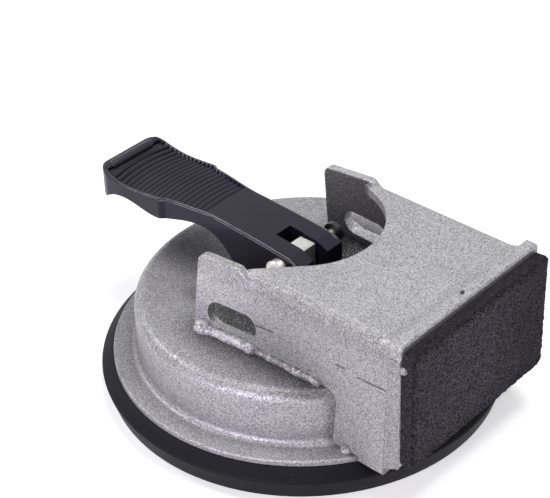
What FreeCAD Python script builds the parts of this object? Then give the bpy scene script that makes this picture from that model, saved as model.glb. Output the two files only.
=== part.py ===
"""Lever suction cup with a welded edge stop, as separate pieces in one frame.

Millimetres, +Z up. The origin is on the cup's axis at the surface that the rubber seals on.
+X points at the padded stop face, the lever's grip points to -X, and -Y is the near side.
The lever lies closed: the stud is pulled up and the rubber's middle is lifted.
"""
import FreeCAD, Part
import math
import os

V = FreeCAD.Vector
UP = V(0, 0, 1)

# Rubber disc
disc_r = 60.0              # widest radius, at the top edge of the rim wall
disc_foot_in = 2.0         # how far the rim wall draws in at the sealing face
rim_z = 6.5                # height of the widest edge
rim_bevel_h = 2.9          # rise of the bevel from the widest edge to the cover's seat
rim_round = 0.9
seal_w = 12.0              # width of the flat sealing ring
seal_grooves = 3
seal_groove_w = 1.2
seal_groove_depth = 0.8
vacuum_rise = 3.0          # lift of the rubber's middle with the lever closed
web_t = 5.5                # rubber between the boss and the seat, above the raised middle
boss_wall = 3.0            # rubber around and above the moulded-in plate
bond_gap = 0.3             # the rubber stays this far from what it is moulded around

# Cover
rim_w = 3.9                # rubber that shows outside the cover's flange
flange_w = 7.1
cover_t = 1.6
pan_h = 16.6               # flat middle of the top, above the flange
pan_r = 30.0
dish_angle = 2.0           # slope from the pan up to the shoulder, degrees
shoulder_round = 3.4
crease_round = 1.8
flange_round = 0.5

# Stud, its plate and its guide
stud_x = 5.6               # bar width along the lever
stud_y = 5.2               # bar thickness across the fork
stud_top_h = 3.8           # bar above the pin
stud_chamfer = 0.5
spigot_r = 2.3
rivet_r = 3.8
rivet_h = 1.2
plate_r = 24.0
plate_t = 2.0
plate_under = 5.0          # rubber between the plate and the vacuum space
plate_holes = 6
plate_hole_r = 2.2
plate_hole_circle_r = 15.0
stud_washer_r = 6.0
stud_washer_t = 1.2
bush_neck_r = 6.0
bush_flange_r = 9.5
bush_flange_t = 1.5
slide_gap = 0.08           # sliding fit of the stud in the bush
wear_back = 17.0           # wear plate behind the pin
wear_front = 10.0          # wear plate in front of the pin
wear_w = 20.0
wear_t = 1.2
wear_round = 3.0
wear_gap = 0.5             # around the stud

# Pivot and cam
pin_h = 12.0               # pin axis above the flat middle of the cover
pin_r = 1.5
pin_gap = 0.04             # running fit of the pin
pin_head_r = 3.4
pin_head_h = 2.0
pin_tip = 0.5              # pin past the retainer
washer_r = 3.2
washer_t = 0.8
spacer_t = 2.2             # ring under the pin's head
pin_bare = 3.0             # pin showing between the far washer and the retainer
retainer_r = 3.1
retainer_t = 1.6
lever_swing = 90.0         # degrees from closed to upright
stud_drop = 3.5            # stud travel over that swing
cam_gap = 0.25             # cam to wear plate
cam_points = 7             # points that carry the cam curve

# Lever
lever_reach = 73.0         # pin to tip
lever_front = 7.0          # pin to the fork's front face
fork_bevel_x = 4.3
fork_bevel_h = 2.0
lever_above_pin = 4.25     # top face over the pin, at the fork
arch_x = 34.0              # highest place of the neck, behind the pin
arch_rise = 1.95           # over the fork's top face, as the next three are
waist_x = 45.2             # grip's shoulder, behind the pin
waist_rise = 1.6
saddle_back = 14.5         # lowest place of the thumb face, from the tip
saddle_rise = 0.4
tip_bar_back = 3.7         # crest of the tip bar, from the tip
tip_rise = 2.8
tip_fall = 0.225           # the tip's end under that crest
tip_round = 2.6
lip_back = 5.0             # lower edge of the sides: its first two places from the tip
lip_drop = 6.6             # under the fork's top face, as the next four are
grip_under_back = 15.5
grip_under_drop = 3.7
waist_under_x = 47.0       # and its others behind the pin
waist_under_drop = 5.3
neck_under_x = 39.0
neck_under_drop = 3.8
heel_top_x = 19.0
heel_top_drop = 10.2
heel_x = 14.0              # pin to the back of the cam's flat
heel_corner = 1.5
fork_w = 18.8
neck_w = 18.1
neck_x = 27.0
neck_round = 50.0
step_x = 43.4              # foot of the step up to the grip's shoulder
step_in = 2.9              # narrower there than the grip, as the next two are
step_round = 0.6
waist_in = 0.8
waist_corner = 1.5
grip_back = 11.0           # widest place, from the tip
grip_w = 25.7
grip_round = 40.0
tip_in = 1.1
tip_corner = 6.0
tip_bow = 1.2              # how far the tip's end bows out
slot_w = 6.0               # fork slot
slot_back = 7.0            # pin to the slot's back wall
edge_round = 0.8

# Ribbed grip
rim_t = 1.3                # raised rim around the ribs
recess_depth = 0.8
recess_start = 29.5        # pin to the recess, fork side
recess_back = 4.8          # tip to the recess
rib_pitch = 1.95
rib_foot_w = 1.5
rib_top_w = 0.5
rib_h = 0.45
rib_bow = 0.8              # each rib bows towards the tip
groove_w = 0.8             # groove between the ribs and the tip bar
groove_depth = 1.1

# Bracket channel, bent from sheet
channel_w = 58.0           # over the side plates, at the top
sheet_t = 2.8
bend_inner_r = 0.4
splay = 3.5                # each side plate leans out from its bend, degrees
bracket_h = 23.7           # top face above the cover's flat middle
mouth_edge = 5.5           # sheet beside the mouth's round end
mouth_x = 0.4              # its centre, behind the axis
mouth_y = 1.1              # and towards the far side
mouth_near_turn = 45.0     # the round end runs on straight to the ears from here, degrees
mouth_far_turn = 70.0
mouth_near_lip = 1.7       # sheet left beside the mouth at the near ear
mouth_far_lip = 3.0
bend_start = 2.5           # the bends begin here, ahead of the axis
near_flare = 5.5           # the ears turn out from the side plates, degrees
far_flare = 1.5
flare_x = 8.0              # where they begin to
near_ear_back = 10.7       # top of the near ear's back edge, behind the axis
near_ear_lean = 2.3        # its foot reaches further back
near_ear_rise = 0.6        # ear's top over the bracket
far_ear_back = 15.0
far_ear_drop = 2.4         # the far ear's top slopes down to its back
far_ear_rise = 1.0
ear_front = 3.2            # ahead of this the ear's top runs down into the bend
ear_merge = 5.0            # length of that run
ear_front_round = 1.4
ear_corner = 3.0
ear_edge_round = 0.6
slot_len = 17.0            # slot through each ear
slot_h = 8.2
slot_centre_x = 0.9
slot_centre_h = 6.4        # above the cover's flat middle
leg_gap = 0.3              # side plate's foot over the rubber
weld_gap = 0.2             # sheet to cover, filled by the beads

# Stop plate and pad
stop_reach = 3.0           # pad face beyond the disc's rim
stop_t = 3.5
stop_lift = 1.0            # plate's lower edge above the flange
stop_over = 1.5            # plate's upper edge above the bracket
stop_over_near = 0.2
stop_over_far = 2.0
stop_corner = 1.4
stop_edge_round = 1.0
pad_t = 4.0
pad_edge = 1.2             # pad stays this far above the plate's lower edge
pad_top_edge = 2.0
pad_far_edge = 0.2
pad_far_top_round = 2.2
pad_far_low_round = 3.0
pad_near_round = 2.0

# Weld beads
side_bead_r = 1.7
side_bead_back = 2.0       # the thick bead starts this far ahead of the ear's back
side_bead_end = 8.0        # and ends here, ahead of the axis
side_blob_r = 2.2          # lump at its start
side_blob_lift = 0.5
thin_bead_r = 0.9
thin_bead_end = 33.0
ripple_pitch = 3.4
ripple_depth = 0.3
leg_bead_r = 1.8
leg_bead_back = 12.9       # behind the stop plate
fill_top_w = 0.4           # near corner's fill, over the plate's corner
fill_low_w = 0.1
fill_edge = 0.2            # it stops this far short of the stop plate's front
corner_bead_r = 1.8
top_bead_leg = 4.2         # hollow bead along the bracket's top
top_bead_sag = 0.3         # its middle, as a share of its rise
top_bead_near_turn = 48.0  # how far it follows each bend, degrees
top_bead_far_turn = 76.0

cut_margin = 2.0           # cutting solids reach this far past what they cut
touching = 1e-6            # ends closer than this need no line between them
solve_steps = 40           # halvings that find where the cam meets the fork's front

# Heights and places that follow from the sizes above
seat_z = rim_z + rim_bevel_h
flange_r = disc_r - rim_w
flange_top = seat_z + cover_t
wall_r = flange_r - flange_w
pan_z = flange_top + pan_h
wear_top = pan_z + wear_t
pin_z = pan_z + pin_h
bracket_top = pan_z + bracket_h
plate_z = vacuum_rise + plate_under
washer_z = plate_z + plate_t
stud_foot = washer_z + stud_washer_t
half_channel = channel_w / 2
inner_half = half_channel - sheet_t
pad_back_x = disc_r + stop_reach - pad_t
stop_x = pad_back_x - stop_t
stop_low = flange_top + stop_lift
stop_top = bracket_top + stop_over
foot_z = seat_z + leg_gap
lever_top = pin_z + lever_above_pin
saddle_x = lever_reach - saddle_back
tip_bar_x = lever_reach - tip_bar_back
lip_x = lever_reach - lip_back
grip_under_x = lever_reach - grip_under_back
grip_x = lever_reach - grip_back
recess_end = lever_reach - recess_back
step_w = grip_w - step_in
grip_waist_w = grip_w - waist_in
grip_tip_w = grip_w - tip_in
mouth_r = half_channel - mouth_edge
leg_bead_x = stop_x - leg_bead_back
half_fork = fork_w / 2
cam_lift = pin_z - wear_top - cam_gap
bend_r = bend_inner_r + sheet_t
lean = math.tan(math.radians(splay))
inner_leg = half_channel + sheet_t * lean - sheet_t / math.cos(math.radians(splay))
bend_y = half_channel - bend_r / math.tan(math.radians(90 + splay) / 2)
drop_rate = stud_drop / math.radians(lever_swing)


def flat(x, z):
    """A point of an outline drawn in the XZ plane."""
    return V(x, 0, z)


def corner_run(before, point, after, radius):
    """The tangent arc that rounds one corner, as its start, its end and its edges."""
    if radius <= 0:
        return point, point, []
    back = (before - point).normalize()
    ahead = (after - point).normalize()
    half = back.getAngle(ahead) / 2
    reach = radius / math.tan(half)
    middle = (back + ahead).normalize()
    start = point + back * reach
    end = point + ahead * reach
    crown = point + middle * (radius / math.sin(half) - radius)
    return start, end, [Part.Arc(start, crown, end).toShape()]


def outline(items):
    """A closed wire through (point, radius) corners and lists of points that carry a curve."""
    first = [item[0] for item in items]
    last = [item[-1] if isinstance(item, list) else item[0] for item in items]
    runs = []
    for index, item in enumerate(items):
        if isinstance(item, list):
            curve = Part.BSplineCurve()
            curve.interpolate(item)
            runs.append((item[0], item[-1], [curve.toShape()]))
        else:
            following = first[(index + 1) % len(items)]
            runs.append(corner_run(last[index - 1], item[0], following, item[1]))
    edges = []
    for index, (start, end, arcs) in enumerate(runs):
        edges += arcs
        onward = runs[(index + 1) % len(runs)][0]
        if (onward - end).Length > touching:
            edges.append(Part.makeLine(end, onward))
    return Part.Wire(edges)


def turned(items):
    """The outline spun about the cup's axis."""
    return Part.Face(outline(items)).revolve(V(0, 0, 0), UP, 360)


def prism(items, along):
    """The outline pushed along a vector."""
    return Part.Face(outline(items)).extrude(along)


def across(items, low_y, high_y):
    """An XZ outline pushed across the part from one Y to another."""
    body = prism(items, V(0, high_y - low_y, 0))
    body.translate(V(0, low_y, 0))
    return body


def bar(low, high):
    """A box from its lowest to its highest corner."""
    size = high - low
    return Part.makeBox(size.x, size.y, size.z, low)


def rod(radius, start, end):
    """A round bar between two points."""
    run = end - start
    return Part.makeCylinder(radius, run.Length, start, run)


def one(shape):
    """The only solid of a shape, tidied."""
    return shape.removeSplitter().Solids[0]


def cover_envelope(grow):
    """The cover's outside filled down to its seat, its skin moved out by grow."""
    slope = math.radians(dish_angle)
    top = pan_z + grow
    wall = wall_r + grow
    edge = pan_r - grow * math.tan(slope / 2)
    shoulder_z = top + (wall - edge) * math.tan(slope)
    return turned([
        (flat(0, seat_z), 0),
        (flat(flange_r + grow, seat_z), 0),
        (flat(flange_r + grow, flange_top + grow), flange_round),
        (flat(wall, flange_top + grow), crease_round - grow),
        (flat(wall, shoulder_z), shoulder_round + grow),
        (flat(edge, top), 0),
        (flat(0, top), 0),
    ])


def cover_inside():
    """The space under the cover's sheet."""
    slope = math.radians(dish_angle)
    top = pan_z - cover_t
    wall = wall_r - cover_t
    edge = pan_r + cover_t * math.tan(slope / 2)
    roof_z = top + (wall - edge) * math.tan(slope)
    low = seat_z - cut_margin
    wide = flange_r + cut_margin
    return turned([
        (flat(0, low), 0),
        (flat(wide, low), 0),
        (flat(wide, seat_z), 0),
        (flat(wall, seat_z), crease_round + cover_t),
        (flat(wall, roof_z), shoulder_round - cover_t),
        (flat(edge, top), 0),
        (flat(0, top), 0),
    ])


def make_cover():
    """Pressed cover: flange, upright wall, rounded shoulder and dished top with the bush's hole."""
    hole = rod(bush_neck_r, flat(0, seat_z), flat(0, pan_z + cut_margin))
    return one(cover_envelope(0).cut(cover_inside()).cut(hole))


def sealing_face():
    """Corners of the sealing ring's grooves, from the outside in."""
    foot_r = disc_r - disc_foot_in
    land = (seal_w - seal_grooves * seal_groove_w) / (seal_grooves + 1)
    corners = []
    for index in range(seal_grooves):
        outer = foot_r - (index + 1) * land - index * seal_groove_w
        inner = outer - seal_groove_w
        corners += [(flat(outer, 0), 0), (flat(outer, seal_groove_depth), 0)]
        corners += [(flat(inner, seal_groove_depth), 0), (flat(inner, 0), 0)]
    return corners


def make_suction_disc():
    """Rubber disc: drawn-in rim wall, grooved sealing ring, lifted middle and a boss round the plate."""
    foot_r = disc_r - disc_foot_in
    seal_inner = foot_r - seal_w
    bore_r = stud_washer_r + bond_gap
    boss_r = plate_r + boss_wall
    boss_top = washer_z + boss_wall
    web_z = vacuum_rise + web_t
    seat_in = wall_r - cover_t - crease_round
    dome = []
    for radius in (seal_inner, seal_inner / 2, 0):
        dome.append(flat(radius, vacuum_rise * (1 - (radius / seal_inner) ** 2)))
    body = turned([
        dome,
        (flat(0, boss_top), 0),
        (flat(boss_r, boss_top), boss_wall / 2),
        (flat(boss_r + boss_wall, web_z), boss_wall / 2),
        (flat(seat_in - boss_wall, web_z), 0),
        (flat(seat_in, seat_z), 0),
        (flat(flange_r, seat_z), 0),
        (flat(disc_r, rim_z), rim_round),
        (flat(foot_r, 0), rim_round / 2),
    ] + sealing_face())
    rivet_room = rod(rivet_r + bond_gap, flat(0, plate_z - rivet_h - bond_gap), flat(0, plate_z))
    plate_room = rod(plate_r + bond_gap, flat(0, plate_z - bond_gap), flat(0, washer_z + bond_gap))
    bore = rod(bore_r, flat(0, washer_z), flat(0, boss_top + cut_margin))
    return one(body.cut(rivet_room.fuse([plate_room, bore])))


def make_insert_plate():
    """Steel disc moulded into the rubber, with holes that key it."""
    plate = rod(plate_r, flat(0, plate_z), flat(0, washer_z))
    holes = [rod(spigot_r, flat(0, plate_z), flat(0, washer_z))]
    for index in range(plate_holes):
        turn = 2 * math.pi * index / plate_holes
        foot = V(plate_hole_circle_r * math.cos(turn), plate_hole_circle_r * math.sin(turn), plate_z)
        holes.append(rod(plate_hole_r, foot, foot + UP * plate_t))
    return one(plate.cut(holes))


def make_stud_washer():
    """Washer between the plate and the stud's shoulder."""
    ring = rod(stud_washer_r, flat(0, washer_z), flat(0, stud_foot))
    return ring.cut(rod(spigot_r, flat(0, washer_z), flat(0, stud_foot)))


def make_lift_stud():
    """Square stud: chamfered top with the pin's hole, round spigot and riveted end."""
    top = pin_z + stud_top_h
    half = V(stud_x / 2, stud_y / 2, 0)
    square = bar(flat(0, stud_foot) - half, flat(0, top) + half)
    top_edges = [edge for edge in square.Edges if edge.BoundBox.ZMin > top - stud_chamfer]
    square = square.makeChamfer(stud_chamfer, top_edges)
    spigot = rod(spigot_r, flat(0, plate_z), flat(0, stud_foot))
    rivet = Part.makeCone(rivet_r - rivet_h / 2, rivet_r, rivet_h, flat(0, plate_z - rivet_h))
    pin_hole = rod(pin_r + pin_gap, V(0, -stud_y, pin_z), V(0, stud_y, pin_z))
    return one(square.fuse([spigot, rivet]).cut(pin_hole))


def stud_window(gap, low, high):
    """The stud's square section grown by gap, between two heights."""
    half = V(stud_x / 2 + gap, stud_y / 2 + gap, 0)
    return bar(flat(0, low) - half, flat(0, high) + half)


def make_guide_bush():
    """Plastic bush pushed into the cover's hole from below."""
    under = pan_z - cover_t
    neck = rod(bush_neck_r, flat(0, under), flat(0, pan_z))
    flange = rod(bush_flange_r, flat(0, under - bush_flange_t), flat(0, under))
    window = stud_window(slide_gap, under - bush_flange_t, pan_z)
    return one(neck.fuse(flange).cut(window))


def make_wear_plate():
    """Steel plate on the cover that the cam bears on."""
    half = wear_w / 2
    plate = prism([
        (V(-wear_back, -half, pan_z), wear_round),
        (V(wear_front, -half, pan_z), wear_round),
        (V(wear_front, half, pan_z), wear_round),
        (V(-wear_back, half, pan_z), wear_round),
    ], UP * wear_t)
    return one(plate.cut(stud_window(wear_gap, pan_z, wear_top)))


def cam_curve():
    """Cam from the flat round to the fork's front: its reach falls evenly as the lever lifts."""
    def point(turn):
        reach = cam_lift - drop_rate * turn
        x = reach * math.sin(turn) - drop_rate * math.cos(turn)
        z = -reach * math.cos(turn) - drop_rate * math.sin(turn)
        return flat(x, pin_z + z)

    low, high = 0.0, math.radians(lever_swing)
    for _ in range(solve_steps):
        middle = (low + high) / 2
        if point(middle).x < lever_front:
            low = middle
        else:
            high = middle
    return [point(low * index / (cam_points - 1)) for index in range(cam_points)]


def lever_crest():
    """Points along the lever's top: fork, arched neck, waist, saddle and tip bar."""
    return [
        flat(lever_front - fork_bevel_x, lever_top),
        flat(-arch_x, lever_top + arch_rise),
        flat(-waist_x, lever_top + waist_rise),
        flat(-saddle_x, lever_top + saddle_rise),
        flat(-tip_bar_x, lever_top + tip_rise),
    ]


def crest_height(x):
    """Height of the lever's top at x."""
    curve = Part.BSplineCurve()
    curve.interpolate(lever_crest())
    low, high = curve.FirstParameter, curve.LastParameter
    for _ in range(solve_steps):
        middle = (low + high) / 2
        if curve.value(middle).x > x:
            low = middle
        else:
            high = middle
    return curve.value(low).z


def lever_side(drop):
    """Side outline of the lever, lowered by drop."""
    lip_z = lever_top - lip_drop
    tip_z = lever_top + tip_rise - tip_fall
    items = [
        (flat(lever_front, lever_top - fork_bevel_h), 0),
        lever_crest(),
        (flat(-lever_reach, tip_z), tip_round),
        (flat(-lever_reach, lip_z), tip_round),
        [
            flat(-lip_x, lip_z),
            flat(-grip_under_x, lever_top - grip_under_drop),
            flat(-waist_under_x, lever_top - waist_under_drop),
            flat(-neck_under_x, lever_top - neck_under_drop),
            flat(-heel_top_x, lever_top - heel_top_drop),
        ],
        (flat(-heel_x, wear_top + cam_gap), heel_corner),
        cam_curve(),
    ]
    side = across(items, -grip_w, grip_w)
    side.translate(UP * -drop)
    return side


def lever_plan(inset, front, low, high):
    """Plan outline of the lever pushed up from low to high, its sides drawn in by inset."""
    def at(x, width):
        return V(x, width / 2 - inset, low)

    side = [
        (at(front, fork_w), 0),
        (at(-neck_x, neck_w), neck_round),
        (at(-step_x, step_w), step_round),
        (at(-waist_x, grip_waist_w), waist_corner),
        (at(-grip_x, grip_w), grip_round),
        (at(-lever_reach + tip_bow + inset, grip_tip_w), tip_corner - inset),
    ]
    mirrored = [(V(point.x, -point.y, point.z), radius) for point, radius in reversed(side)]
    tip = [(V(-lever_reach + inset, 0, low), 0)]
    return prism(side + tip + mirrored, UP * (high - low))


def lever_ribs(recess):
    """Bowed ribs with sloping flanks across the recess, each on the floor at its own place."""
    half = neck_w / 2
    ring_r = (half ** 2 + rib_bow ** 2) / (2 * rib_bow)
    count = int((recess_end - groove_w - recess_start) / rib_pitch)
    ribs = []
    for index in range(count):
        x = -recess_start - (index + 1) * rib_pitch
        floor = crest_height(x) - recess_depth
        ring = Part.Face(outline([
            (flat(x - rib_foot_w / 2, floor - rib_h), 0),
            (flat(x - rib_foot_w / 2, floor), 0),
            (flat(x - rib_top_w / 2, floor + rib_h), 0),
            (flat(x + rib_top_w / 2, floor + rib_h), 0),
            (flat(x + rib_foot_w / 2, floor), 0),
            (flat(x + rib_foot_w / 2, floor - rib_h), 0),
        ])).revolve(flat(x + ring_r, 0), UP, 360)
        ribs.append(ring.common(recess))
    return ribs


def make_lever():
    """Moulded lever: forked cam, necked grip with a rimmed, ribbed thumb face and a tip bar."""
    low = wear_top - cut_margin
    high = lever_top + tip_rise + cut_margin
    blank = lever_side(0).common(lever_plan(0, lever_front + cut_margin, low, high))
    rounded = [edge for edge in blank.Edges if is_top_edge(edge)]
    blank = blank.makeFillet(edge_round, rounded)
    thumb = lever_plan(rim_t, lever_front + cut_margin, low, high)
    span = bar(V(-recess_end, -grip_w, low), V(-recess_start, grip_w, high))
    recess = thumb.common(span).cut(lever_side(recess_depth))
    ribs = lever_ribs(recess)
    groove_span = bar(V(-recess_end, -grip_w, low), V(-recess_end + groove_w, grip_w, high))
    groove = thumb.common(groove_span).cut(lever_side(groove_depth))
    half = slot_w / 2
    slot = bar(V(-slot_back, -half, low), V(lever_front + cut_margin, half, high))
    pin_hole = rod(pin_r + pin_gap, V(0, -fork_w, pin_z), V(0, fork_w, pin_z))
    body = blank.cut(recess).fuse(ribs)
    return one(body.cut(groove.fuse([slot, pin_hole])))


def is_top_edge(edge):
    """True for the edges that run along the lever's upper outline."""
    box = edge.BoundBox
    on_side = box.YMax < 0 or box.YMin > 0
    along_top = box.ZMin > lever_top - edge_round and box.XMax < lever_front
    before_end = box.XMin > -lever_reach + touching
    return on_side and along_top and before_end


def make_pivot_pin():
    """Pin with a domed head on the near side."""
    seat = -(half_fork + spacer_t)
    far = half_fork + washer_t + pin_bare + retainer_t + pin_tip
    shank = rod(pin_r, V(0, seat, pin_z), V(0, far, pin_z))
    ball_r = (pin_head_r ** 2 + pin_head_h ** 2) / (2 * pin_head_h)
    ball = Part.makeSphere(ball_r, V(0, seat + ball_r - pin_head_h, pin_z))
    keep = bar(V(-ball_r, seat - pin_head_h, pin_z - ball_r), V(ball_r, seat, pin_z + ball_r))
    return one(ball.common(keep).fuse(shank))


def pin_ring(radius, thick, start_y):
    """A ring on the pin from start_y."""
    ring = rod(radius, V(0, start_y, pin_z), V(0, start_y + thick, pin_z))
    return ring.cut(rod(pin_r, V(0, start_y, pin_z), V(0, start_y + thick, pin_z)))


def make_pin_washers():
    """A spacer under the pin's head and a washer on the fork's far side."""
    near = pin_ring(washer_r, spacer_t, -half_fork - spacer_t)
    return Part.makeCompound([near, pin_ring(washer_r, washer_t, half_fork)])


def make_pin_retainer():
    """Push-on ring near the pin's far end."""
    return pin_ring(retainer_r, retainer_t, half_fork + washer_t + pin_bare)


def splayed(shape, side):
    """A flat piece at an ear's upright place, leant out with the side plate and turned out with the ear."""
    flare = near_flare if side < 0 else far_flare
    shape.rotate(V(0, side * half_channel, bracket_top), V(1, 0, 0), side * splay)
    shape.rotate(V(flare_x, side * half_channel, 0), UP, -side * flare)
    return shape


def make_ear(side):
    """An ear: a flat plate behind the bends whose top runs down into the bend."""
    back = near_ear_back if side < 0 else far_ear_back
    foot_back = back + (near_ear_lean if side < 0 else 0)
    crest = bracket_top + (near_ear_rise if side < 0 else far_ear_rise)
    back_z = crest - (0 if side < 0 else far_ear_drop)
    low = pan_z - cut_margin
    front = ear_front + ear_merge
    ends = sorted((side * inner_half, side * half_channel))
    plate = across([
        (flat(front, low), 0),
        (flat(front, bracket_top - bend_r), 0),
        (flat(ear_front, crest), ear_front_round),
        (flat(-back, back_z), ear_corner),
        (flat(-foot_back, low), 0),
    ], ends[0], ends[1])
    rounded = [edge for edge in plate.Edges
               if edge.BoundBox.YLength < touching and edge.BoundBox.ZMin > back_z - 2 * ear_corner
               and edge.BoundBox.XMax < front - touching]
    return splayed(plate.makeFillet(ear_edge_round, rounded), side)


def ear_slot(side):
    """The cutter of an ear's slot."""
    half_len = slot_len / 2
    half_h = slot_h / 2
    slot_z = pan_z + slot_centre_h
    ends = sorted((side * (inner_half - cut_margin), side * (half_channel + cut_margin)))
    return splayed(across([
        (flat(slot_centre_x - half_len, slot_z - half_h), half_h),
        (flat(slot_centre_x + half_len, slot_z - half_h), half_h),
        (flat(slot_centre_x + half_len, slot_z + half_h), half_h),
        (flat(slot_centre_x - half_len, slot_z + half_h), half_h),
    ], ends[0], ends[1]), side)


def channel_section(half, top, radius, low):
    """A filled channel with splayed legs, from the bends' start to the stop plate."""
    foot_half = half + (top - low) * lean
    return prism([
        (V(bend_start, -foot_half, low), 0),
        (V(bend_start, -half, top), radius),
        (V(bend_start, half, top), radius),
        (V(bend_start, foot_half, low), 0),
    ], V(stop_x - bend_start, 0, 0))


def mouth_side(side, turn, lip):
    """Where the mouth's round end turns straight, and where that line reaches the ear."""
    angle = math.radians(turn)
    touch = V(mouth_r * math.cos(angle) - mouth_x, mouth_y + side * mouth_r * math.sin(angle), pan_z)
    run = (half_channel - lip - side * touch.y) / math.cos(angle)
    return [touch, touch + V(-math.sin(angle), side * math.cos(angle), 0) * run]


def bracket_mouth():
    """The cutter of the mouth in the bracket's top: round in front, opening out to the ears."""
    height = UP * (bracket_h + cut_margin)
    near = mouth_side(-1, mouth_near_turn, mouth_near_lip)
    far = mouth_side(1, mouth_far_turn, mouth_far_lip)
    back = -V(channel_w, 0, 0)
    corners = near + [near[1] + back, far[1] + back] + far[::-1]
    centre = V(-mouth_x, mouth_y, pan_z)
    return prism([(corner, 0) for corner in corners], height).fuse(rod(mouth_r, centre, centre + height))


def make_bracket_channel():
    """Bent channel over the cover: open mouth, slotted ears, splayed side plates coped to the cover."""
    shell = channel_section(half_channel, bracket_top, bend_r, foot_z)
    room = channel_section(inner_leg, bracket_top - sheet_t, bend_inner_r, foot_z - cut_margin)
    shell = shell.cut([room, bracket_mouth()]).fuse([make_ear(-1), make_ear(1)])
    return one(shell.cut([ear_slot(-1), ear_slot(1), cover_envelope(weld_gap)]))


def upright(corners, x, thick):
    """A flat plate across the front: (y, z, radius) corners, from x by its thickness."""
    return prism([(V(x, y, z), radius) for y, z, radius in corners], V(thick, 0, 0))


def make_stop_plate():
    """Plate welded across the channel's front, its front edge rounded along the top."""
    near = -half_channel - stop_over_near
    far = half_channel + stop_over_far
    plate = upright([
        (near, stop_low, 0),
        (far, stop_low, stop_corner),
        (far, stop_top, stop_corner),
        (near, stop_top, stop_corner),
    ], stop_x, stop_t)
    rounded = [edge for edge in plate.Edges
               if edge.BoundBox.XMin > pad_back_x - touching and edge.BoundBox.ZMin > stop_top - touching]
    return plate.makeFillet(stop_edge_round, rounded)


def make_stop_pad():
    """Felt pad on the stop plate."""
    near = -half_channel
    far = half_channel + stop_over_far - pad_far_edge
    return upright([
        (near, stop_low + pad_edge, pad_near_round / 2),
        (far, stop_low + pad_edge, pad_far_low_round),
        (far, stop_top - pad_top_edge, pad_far_top_round),
        (near, stop_top - pad_top_edge, pad_near_round),
    ], pad_back_x, pad_t)


def rippled_rod(radius, start, end):
    """A lumpy bead between two points of one height: overlapping rounds, as weld pools leave them."""
    run = end - start
    count = max(2, round(run.Length / ripple_pitch))
    pitch = run.Length / count
    low = radius - ripple_depth
    edges = [Part.makeLine(start, start + UP * low)]
    for index in range(count):
        foot = start + V(index * pitch, 0, low)
        crown = start + V(index * pitch + pitch / 2, 0, radius)
        edges.append(Part.Arc(foot, crown, foot + V(pitch, 0, 0)).toShape())
    stop = start + V(run.Length, 0, 0)
    edges.append(Part.makeLine(stop + UP * low, stop))
    edges.append(Part.makeLine(stop, start))
    bead = Part.Face(Part.Wire(edges)).revolve(start, V(1, 0, 0), 360)
    bead.rotate(start, UP, math.degrees(math.atan2(run.y, run.x)))
    return bead


def trimmed(bead, plates):
    """What is left of a bead outside the plates that it joins."""
    rest = bead.cut(plates)
    return max(rest.Solids, key=lambda solid: solid.Volume)


def plate_foot(x, z, side):
    """The point of a side plate's or ear's outer face at x and z."""
    flare = math.radians(near_flare if side < 0 else far_flare)
    out = (bracket_top - z) * lean + max(0, flare_x - x) * math.tan(flare)
    return V(x, side * (half_channel + out), z)


def make_side_weld(side, plates):
    """Bead at the foot of an ear, a lump at its start, with a thin seam on along the side plate."""
    back = near_ear_back + near_ear_lean if side < 0 else far_ear_back
    start = plate_foot(side_bead_back - back, pan_z, side)
    end = plate_foot(side_bead_end, pan_z, side)
    tail_z = pan_z + (wall_r - shoulder_round - pan_r) * math.tan(math.radians(dish_angle))
    tail = plate_foot(thin_bead_end, tail_z, side)
    lump = Part.makeSphere(side_blob_r, start + UP * side_blob_lift)
    bead = rippled_rod(side_bead_r, start, end).fuse([lump, rod(thin_bead_r, end, tail)])
    return trimmed(bead, plates)


def make_leg_weld(side, plates):
    """Lump of weld where a side plate's leg stands on the flange."""
    return trimmed(Part.makeSphere(leg_bead_r, plate_foot(leg_bead_x, flange_top, side)), plates)


def corner_fill(z, over):
    """One end of the near corner's fill: from the side plate's corner to the stop plate's near edge."""
    corner = V(stop_x, -half_channel - stop_over_near, z)
    out = plate_foot(stop_x, z, -1) - V(0, over, 0)
    front = corner + V(stop_t - fill_edge, 0, 0)
    return Part.makePolygon([corner, out, front, corner])


def make_corner_weld(side, plates):
    """Upright seam between a side plate and the stop plate: a bead, on the near side a flat fill."""
    high = bracket_top - bend_r
    if side < 0:
        ends = [corner_fill(stop_low, fill_low_w), corner_fill(high, fill_top_w)]
        return Part.makeLoft(ends, True, True)
    ends = [plate_foot(stop_x, stop_low, side), plate_foot(stop_x, high, side)]
    return trimmed(rod(corner_bead_r, ends[0], ends[1]), plates)


def make_top_weld():
    """Hollow bead between the channel's top and the stop plate, running on round both bends."""
    rise = stop_over * (1 - top_bead_sag / 2)
    toe = flat(stop_x - top_bead_leg, bracket_top)
    middle = flat(stop_x - top_bead_leg / 2, bracket_top + rise * top_bead_sag)
    face = Part.Face(outline([
        [toe, middle, flat(stop_x, bracket_top + rise)],
        (flat(stop_x, bracket_top), 0),
    ]))
    near = face.translated(V(0, -bend_y, 0))
    far = face.translated(V(0, bend_y, 0))
    centre_z = bracket_top - bend_r
    along = V(1, 0, 0)
    bead = near.extrude(V(0, 2 * bend_y, 0)).fuse([
        near.revolve(V(0, -bend_y, centre_z), along, top_bead_near_turn),
        far.revolve(V(0, bend_y, centre_z), along, -top_bead_far_turn),
    ])
    return one(bead)


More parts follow.
